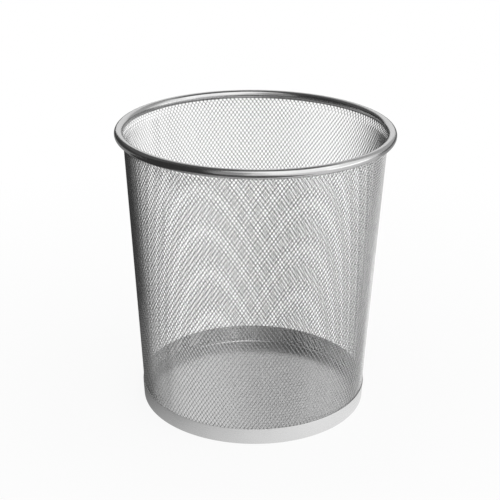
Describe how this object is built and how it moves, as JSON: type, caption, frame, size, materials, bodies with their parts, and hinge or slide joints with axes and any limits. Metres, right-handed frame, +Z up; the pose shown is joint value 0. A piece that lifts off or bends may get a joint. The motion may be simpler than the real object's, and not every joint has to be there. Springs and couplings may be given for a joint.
{
  "type": "metal mesh wastebasket",
  "caption": "Round open-topped wastebasket of tapered metal mesh, with a rolled tube rim, a plain band round the foot and a flat sheet floor.",
  "frame": {"origin": "on the surface the basket stands on, under the middle of its foot", "axes": "+Z up along the basket's axis, towards its open mouth; -Y is the side that faces the viewer in the picture"},
  "size_m": [0.295, 0.295, 0.31],
  "materials": {
    "rim_steel": "polished satin, plated",
    "mesh_steel": "expanded and plated, semi-gloss",
    "band_steel": "rolled strip, satin",
    "floor_steel": "cold-rolled sheet, bright satin"
  },
  "bodies": {
    "root": {"rim_hoop": "rim_steel", "mesh_wall": "mesh_steel", "base_band": "band_steel", "floor_pan": "floor_steel"}
  },
  "joints": []
}
